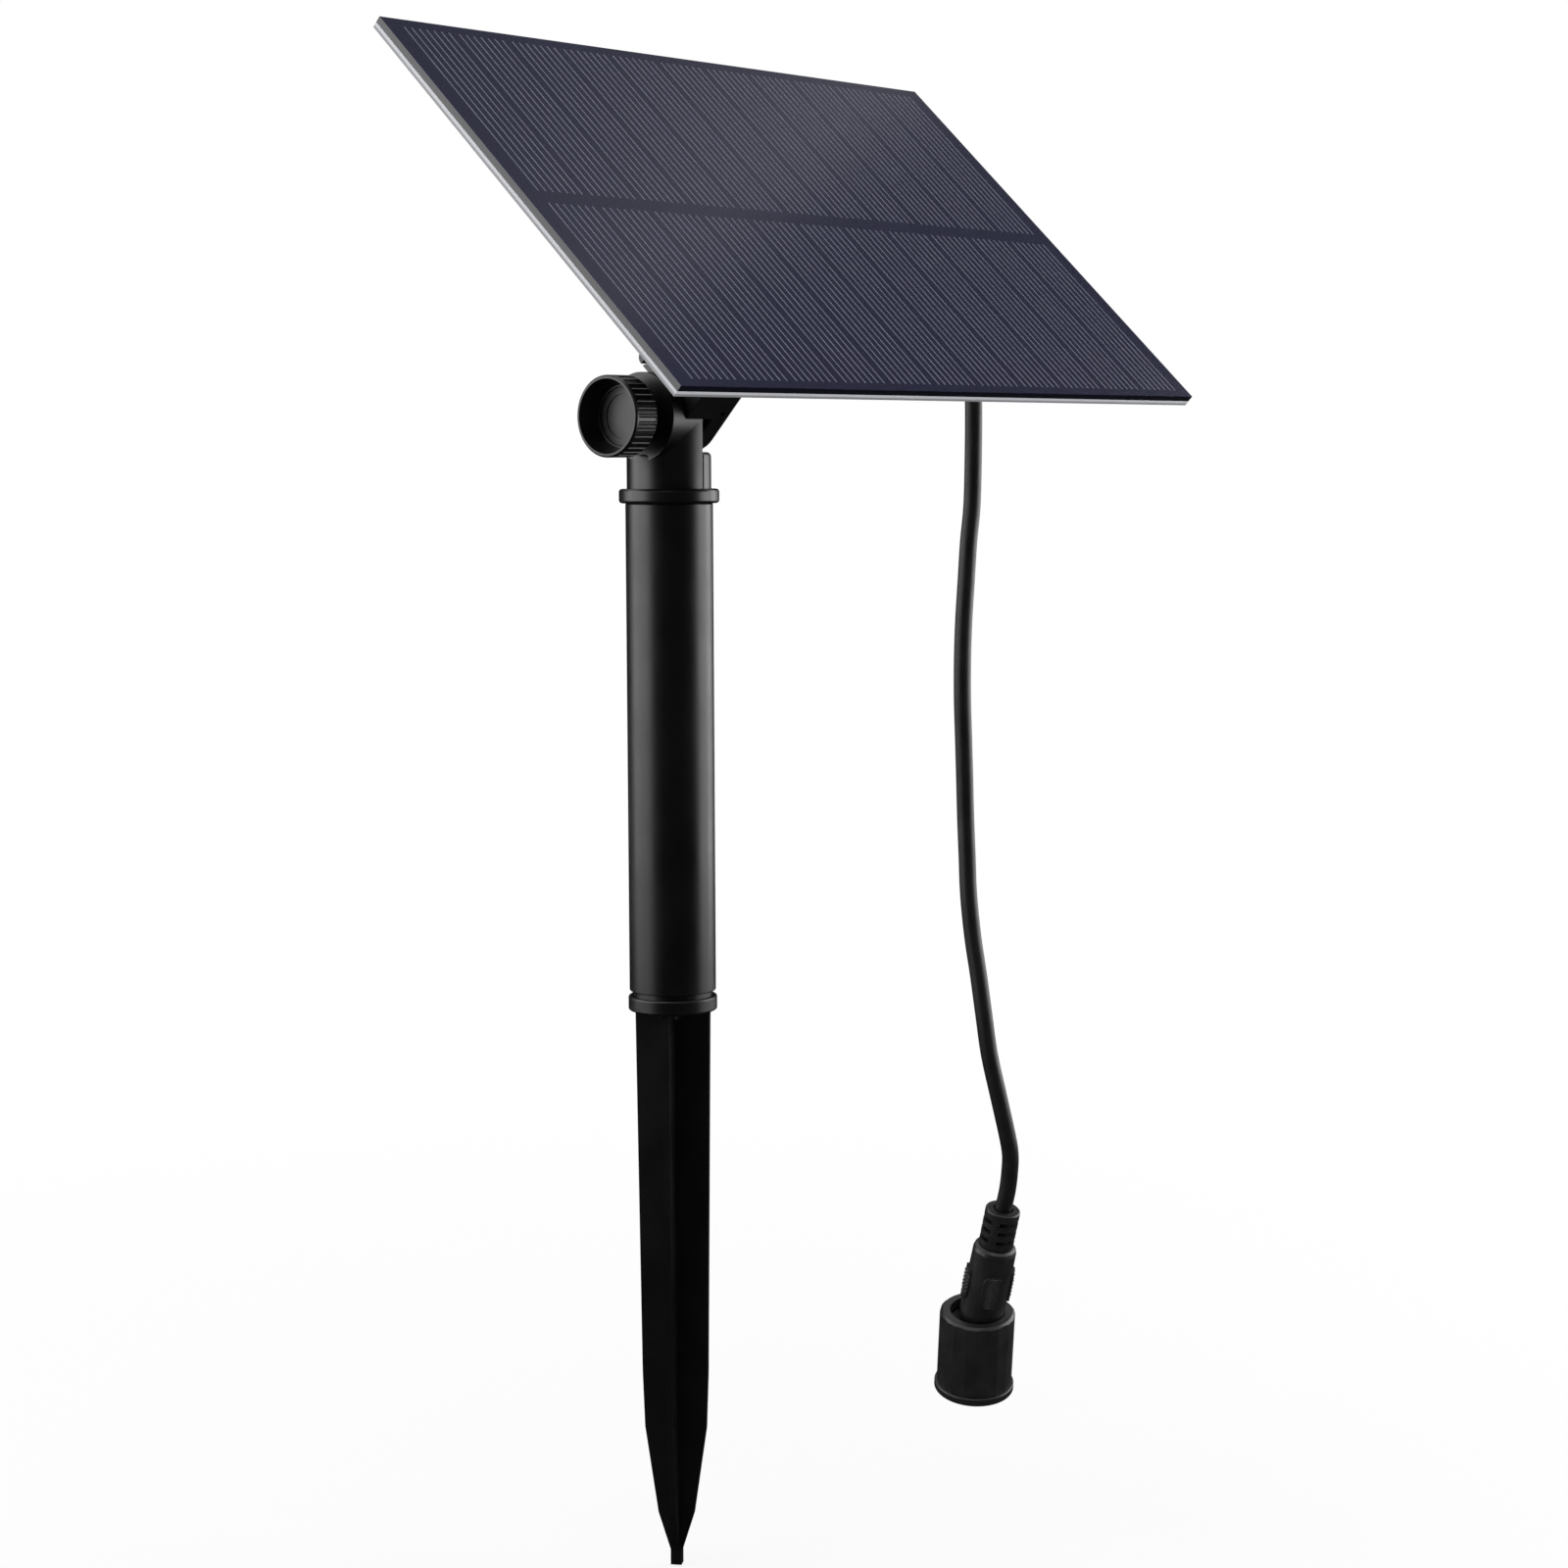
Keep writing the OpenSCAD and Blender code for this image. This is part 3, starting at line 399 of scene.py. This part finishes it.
def row_of(tree, count, step, axis):
    """A row of points centred on the origin, count of them, step apart along one axis."""
    span = add(tree, "ShaderNodeMath", {0: count, 1: 1.0}, operation="SUBTRACT")
    half = add(tree, "ShaderNodeMath", {0: span.outputs[0], 1: step}, operation="MULTIPLY")
    back = add(tree, "ShaderNodeMath", {0: half.outputs[0], 1: -0.5}, operation="MULTIPLY")
    start = add(tree, "ShaderNodeCombineXYZ", {axis: back.outputs[0]})
    offset = add(tree, "ShaderNodeCombineXYZ", {axis: step})
    return add(tree, "GeometryNodeMeshLine", {"Count": count, "Start Location": start.outputs[0],
                                              "Offset": offset.outputs[0]}).outputs[0]


def finger_tree():
    """Contact fingers: lines in groups, groups in a row, and rows up the panel."""
    tree = bpy.data.node_groups.new("contact_fingers", "GeometryNodeTree")
    tree.interface.new_socket(name="Geometry", in_out="OUTPUT", socket_type="NodeSocketGeometry")
    for name in ("Lines", "Groups", "Rows"):
        number_input(tree, name, "NodeSocketInt")
    for name in ("Line step", "Group step", "Row step", "Line width", "Line length", "Line height"):
        number_input(tree, name)
    given = add(tree, "NodeGroupInput").outputs
    size = add(tree, "ShaderNodeCombineXYZ", {"X": given["Line width"], "Y": given["Line length"],
                                              "Z": given["Line height"]})
    line = add(tree, "GeometryNodeMeshCube", {"Size": size.outputs[0]}).outputs[0]
    for count, step, axis in (("Lines", "Line step", "X"), ("Groups", "Group step", "X"),
                              ("Rows", "Row step", "Y")):
        points = row_of(tree, given[count], given[step], axis)
        line = add(tree, "GeometryNodeInstanceOnPoints", {"Points": points, "Instance": line}).outputs[0]
    solid = add(tree, "GeometryNodeRealizeInstances", {"Geometry": line})
    painted = add(tree, "GeometryNodeSetMaterial", {"Geometry": solid.outputs[0],
                                                    "Material": finger_silver})
    add(tree, "NodeGroupOutput", {"Geometry": painted.outputs[0]})
    return tree


def make_fingers():
    rows_middle = -0.3 * MM      # up the slope from the face's middle
    line_height = 0.05 * MM      # half of it stands out of the face
    place = panel_frame @ Matrix.Translation((0, panel_mid + rows_middle, face_rise))
    fingers = run_tree("contact_fingers", finger_tree(), {
        "Lines": 7, "Groups": 11, "Rows": 2, "Line step": 2.3 * MM, "Group step": 17.12 * MM,
        "Row step": 60.45 * MM, "Line width": 0.42 * MM, "Line length": 56.4 * MM,
        "Line height": line_height}, place)
    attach(fingers, "panel")


make_fingers()


def grip_tree():
    """Teeth on an oval pad that is wrapped round the connector's body."""
    tree = bpy.data.node_groups.new("grip_teeth", "GeometryNodeTree")
    tree.interface.new_socket(name="Geometry", in_out="OUTPUT", socket_type="NodeSocketGeometry")
    for name in ("Across", "Along"):
        number_input(tree, name, "NodeSocketInt")
    for name in ("Pad width", "Pad length", "Pad radius", "Tooth width", "Tooth length", "Tooth height"):
        number_input(tree, name)
    given = add(tree, "NodeGroupInput").outputs
    grid = add(tree, "GeometryNodeMeshGrid", {"Size X": given["Pad width"], "Size Y": given["Pad length"],
                                              "Vertices X": given["Across"], "Vertices Y": given["Along"]})
    at = add(tree, "ShaderNodeSeparateXYZ", {0: add(tree, "GeometryNodeInputPosition").outputs[0]})
    half_w = add(tree, "ShaderNodeMath", {0: given["Pad width"], 1: 0.5}, operation="MULTIPLY")
    half_l = add(tree, "ShaderNodeMath", {0: given["Pad length"], 1: 0.5}, operation="MULTIPLY")
    straight = add(tree, "ShaderNodeMath", {0: half_l.outputs[0], 1: half_w.outputs[0]}, operation="SUBTRACT")
    up = add(tree, "ShaderNodeMath", {0: at.outputs["Y"]}, operation="ABSOLUTE")
    past = add(tree, "ShaderNodeMath", {0: up.outputs[0], 1: straight.outputs[0]}, operation="SUBTRACT")
    past = add(tree, "ShaderNodeMath", {0: past.outputs[0], 1: 0.0}, operation="MAXIMUM")
    apart = add(tree, "ShaderNodeCombineXYZ", {"X": at.outputs["X"], "Y": past.outputs[0]})
    reach = add(tree, "ShaderNodeVectorMath", {0: apart.outputs[0]}, operation="LENGTH")
    inside = add(tree, "FunctionNodeCompare", {0: reach.outputs["Value"], 1: half_w.outputs[0]},
                 data_type="FLOAT", operation="LESS_EQUAL")
    turn = add(tree, "ShaderNodeMath", {0: at.outputs["X"], 1: given["Pad radius"]}, operation="DIVIDE")
    side = add(tree, "ShaderNodeMath", {0: turn.outputs[0]}, operation="SINE")
    out = add(tree, "ShaderNodeMath", {0: turn.outputs[0]}, operation="COSINE")
    direction = add(tree, "ShaderNodeCombineXYZ", {"X": side.outputs[0], "Z": out.outputs[0]})
    around = add(tree, "ShaderNodeVectorMath", {0: direction.outputs[0], "Scale": given["Pad radius"]},
                 operation="SCALE")
    lift = add(tree, "ShaderNodeCombineXYZ", {"Y": at.outputs["Y"]})
    wrapped = add(tree, "ShaderNodeVectorMath", {0: around.outputs[0], 1: lift.outputs[0]}, operation="ADD")
    points = add(tree, "GeometryNodeMeshToPoints", {"Mesh": grid.outputs[0], "Selection": inside.outputs[0],
                                                    "Position": wrapped.outputs[0]})
    tooth = add(tree, "GeometryNodeMeshCone", {"Vertices": 4, "Radius Top": 0.0, "Radius Bottom": 1.0,
                                               "Depth": 1.0})
    scale = add(tree, "ShaderNodeCombineXYZ", {"X": given["Tooth width"], "Y": given["Tooth length"],
                                               "Z": given["Tooth height"]})
    stretched = add(tree, "GeometryNodeTransform", {"Geometry": tooth.outputs[0], "Scale": scale.outputs[0]})
    spin = add(tree, "FunctionNodeAlignRotationToVector", {"Vector": around.outputs[0]}, axis="Z",
               pivot_axis="Y")
    teeth = add(tree, "GeometryNodeInstanceOnPoints", {"Points": points.outputs[0],
                                                       "Instance": stretched.outputs[0],
                                                       "Rotation": spin.outputs[0]})
    solid = add(tree, "GeometryNodeRealizeInstances", {"Geometry": teeth.outputs[0]})
    painted = add(tree, "GeometryNodeSetMaterial", {"Geometry": solid.outputs[0],
                                                    "Material": connector_nylon})
    add(tree, "NodeGroupOutput", {"Geometry": painted.outputs[0]})
    return tree


def make_grips():
    """Diamond knurls on two opposite pads, and fine ribs on the two between them."""
    tree = grip_tree()
    pad_middle = -22.5 * MM      # down the connector's axis from the boot's mouth
    first_pad = 66               # degrees round that axis
    every_pad = {"Pad length": 8.6 * MM, "Pad radius": 6.45 * MM, "Tooth height": 0.35 * MM}
    knurl = {"Across": 4, "Along": 9, "Pad width": 3.9 * MM,
             "Tooth width": 0.62 * MM, "Tooth length": 0.52 * MM}
    ribs = {"Across": 1, "Along": 15, "Pad width": 3.6 * MM,
            "Tooth width": 1.9 * MM, "Tooth length": 0.3 * MM}
    on_end = Matrix.Rotation(pi / 2, 4, "Y") @ Matrix.Rotation(pi / 2, 4, "Z")
    grips = []
    for i in range(4):
        outward = Matrix.Rotation(radians(first_pad + 90 * i), 4, "Z") @ on_end
        kind, teeth = ("knurl", knurl) if i % 2 == 0 else ("ribs", ribs)
        grip = run_tree(f"grip_{kind}_{i + 1}", tree, {**teeth, **every_pad},
                        plug_frame @ Matrix.Translation((0, 0, pad_middle)) @ outward)
        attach(grip, "lead")
        grips.append(grip)
    return grips


grips = make_grips()

# ---------- studio ----------

energy_per_radiance = 4      # a lamp's energy, for each square metre and each unit of radiance
toward_camera = Vector((-view_along.x, -view_along.y, 0)).normalized()
to_the_right = Vector((view_right.x, view_right.y, 0)).normalized()
middle = pivot


def around(degrees_right, distance, height=0.0):
    """A place round the stake, by its angle to the camera's right."""
    turn = radians(degrees_right)
    return middle + (toward_camera * cos(turn) + to_the_right * sin(turn)) * distance + Vector((0, 0, height))


def soft_box(name, place, width, height, radiance):
    """A rectangular lamp in its place, which faces the tilt axis."""
    data = bpy.data.lights.new(name, "AREA")
    data.shape = "RECTANGLE"
    data.size = width
    data.size_y = height
    data.energy = energy_per_radiance * radiance * width * height
    lamp = bpy.data.objects.new(name, data)
    turn = (middle - place).to_track_quat("-Z", "Y").to_matrix().to_4x4()
    lamp.matrix_world = Matrix.Translation(place) @ turn
    bpy.context.collection.objects.link(lamp)


soft_box("soft_box_left", around(-82, 1.0), width=1.1, height=1.5, radiance=1.7)
soft_box("soft_box_right", around(108, 1.0), width=1.0, height=1.5, radiance=2.3)
soft_box("soft_box_top", around(-20, 0.5, 1.3), width=1.2, height=1.2, radiance=1.2)


def seen_directly(tree):
    """1 for rays that show the background itself, and 0 for those that light the object."""
    path = add(tree, "ShaderNodeLightPath").outputs
    seen = add(tree, "ShaderNodeMath", {0: path["Is Camera Ray"], 1: path["Is Glossy Ray"]},
               operation="MAXIMUM")
    return add(tree, "ShaderNodeMath", {0: seen.outputs[0], 1: path["Is Transmission Ray"]},
               operation="MAXIMUM").outputs[0]


def make_world():
    """A white background that lights the object less than it shows."""
    lit = 0.35
    world = bpy.data.worlds.new("pale_studio")
    world.use_nodes = True
    world.node_tree.nodes.clear()
    tree = world.node_tree
    level = add(tree, "ShaderNodeMapRange", {"Value": seen_directly(tree), "To Min": lit, "To Max": 1.0})
    light = add(tree, "ShaderNodeBackground", {"Color": srgb("#ffffff"), "Strength": level.outputs[0]})
    add(tree, "ShaderNodeOutputWorld", {"Surface": light.outputs[0]})
    bpy.context.scene.world = world


make_world()


def sheet_mesh(name, corners, faces, material):
    data = bpy.data.meshes.new(name)
    data.from_pydata(corners, [], faces)
    data.materials.append(material)
    sheet = bpy.data.objects.new(name, data)
    bpy.context.collection.objects.link(sheet)
    return sheet


def square(half, z):
    """The corners of a level square round the origin."""
    return [(-half, -half, z), (half, -half, z), (half, half, z), (-half, half, z)]


def make_floor():
    """A white floor under the spike's point, which keeps a soft shadow."""
    shadow_from, shadow_to = 0.2, 0.6        # the shadow fades out between these distances
    white_share = 0.85                       # share of plain white where the shadow is strongest
    half = 6.0
    drop = 0.5 * MM                          # below the spike's point
    material, tree = new_material("white_paper_sweep")
    paper = add(tree, "ShaderNodeBsdfDiffuse", {"Color": srgb("#fafafa")})
    glow = add(tree, "ShaderNodeEmission", {"Color": srgb("#ffffff"), "Strength": 1.0})
    where = add(tree, "ShaderNodeTexCoord").outputs["Object"]
    away = add(tree, "ShaderNodeVectorMath", {0: where}, operation="LENGTH")
    fade = add(tree, "ShaderNodeMapRange", {"Value": away.outputs["Value"], "From Min": shadow_from,
                                            "From Max": shadow_to, "To Min": white_share, "To Max": 1.0})
    share = add(tree, "ShaderNodeMath", {0: seen_directly(tree), 1: fade.outputs[0]}, operation="MULTIPLY")
    mixed = add(tree, "ShaderNodeMixShader", {0: share.outputs[0], 1: paper.outputs[0], 2: glow.outputs[0]})
    finish_surface(tree, mixed)
    sheet_mesh("floor", square(half, ground_z - drop), [(0, 1, 2, 3)], material)


make_floor()


def glossy_only(sheet):
    """A card that is seen only in what the glossy plastic mirrors."""
    for ray in ("camera", "diffuse", "transmission", "volume_scatter", "shadow"):
        setattr(sheet, f"visible_{ray}", False)


def card_finish(name, strength):
    material, tree = new_material(name)
    finish_surface(tree, add(tree, "ShaderNodeEmission", {"Color": srgb("#ffffff"), "Strength": strength}))
    return material


def make_dark_cards():
    """Black cards before the stake, behind it and under it, which leave the soft boxes as bands."""
    black = card_finish("black_card", 0.02)
    low, high = -1.2, 0.9
    steps = 12
    for name, first, last, reach in (("card_front", -44, 74, 1.3), ("card_back", 146, 238, 1.7)):
        corners = []
        for k in range(steps + 1):
            angle = first + (last - first) * k / steps
            corners += [around(angle, reach, low), around(angle, reach, high)]
        faces = [(2 * k, 2 * k + 2, 2 * k + 3, 2 * k + 1) for k in range(steps)]
        glossy_only(sheet_mesh(name, corners, faces, black))
    half = 1.5
    drop = 0.2 * MM              # below the spike's point, and above the floor
    glossy_only(sheet_mesh("card_below", square(half, ground_z - drop), [(0, 1, 2, 3)], black))


make_dark_cards()


def make_panel_card():
    """The grey card that the panel mirrors: brightest along a slanting edge, and dark past it."""
    material, tree = new_material("graded_card")
    glow = add(tree, "ShaderNodeAttribute", attribute_name="glow")
    finish_surface(tree, add(tree, "ShaderNodeEmission", {"Color": srgb("#ffffff"),
                                                          "Strength": glow.outputs["Fac"]}))
    face_middle = on_panel(0, 0)
    mirrored_eye = view_from - 2 * (view_from - face_middle).dot(panel_normal) * panel_normal
    far = 4.0                    # the card stands four times as far from the mirrored eye as the face
    reach = 0.4                  # how far the strips run each way along the slanting edge
    slant = Vector((1.85, 1, 0)).normalized()
    across = Vector((-slant.y, slant.x, 0))
    start = Vector((-15 * MM, 0, 0))
    # Strips of the card as the face shows them: each side's distance from the edge in mm, and its level
    strips = [((0, 0.42), (22, 0.24)), ((22, 0.24), (60, 0.1)), ((60, 0.1), (260, 0.08)),
              ((-260, 0.03), (0, 0.05))]
    corners, levels, faces = [], [], []
    for near, away in strips:
        first = len(corners)
        for distance, level in (near, away):
            for along in (-reach, reach):
                spot = start + slant * along + across * distance * MM
                corners.append(mirrored_eye + (on_panel(spot.x, spot.y) - mirrored_eye) * far)
                levels.append(level)
        faces.append((first, first + 1, first + 3, first + 2))
    card = sheet_mesh("panel_card", corners, faces, material)
    shade = card.data.attributes.new("glow", "FLOAT", "POINT")
    for place, level in zip(shade.data, levels):
        place.value = level
    glossy_only(card)


make_panel_card()

bpy.context.scene.view_settings.view_transform = "Standard"
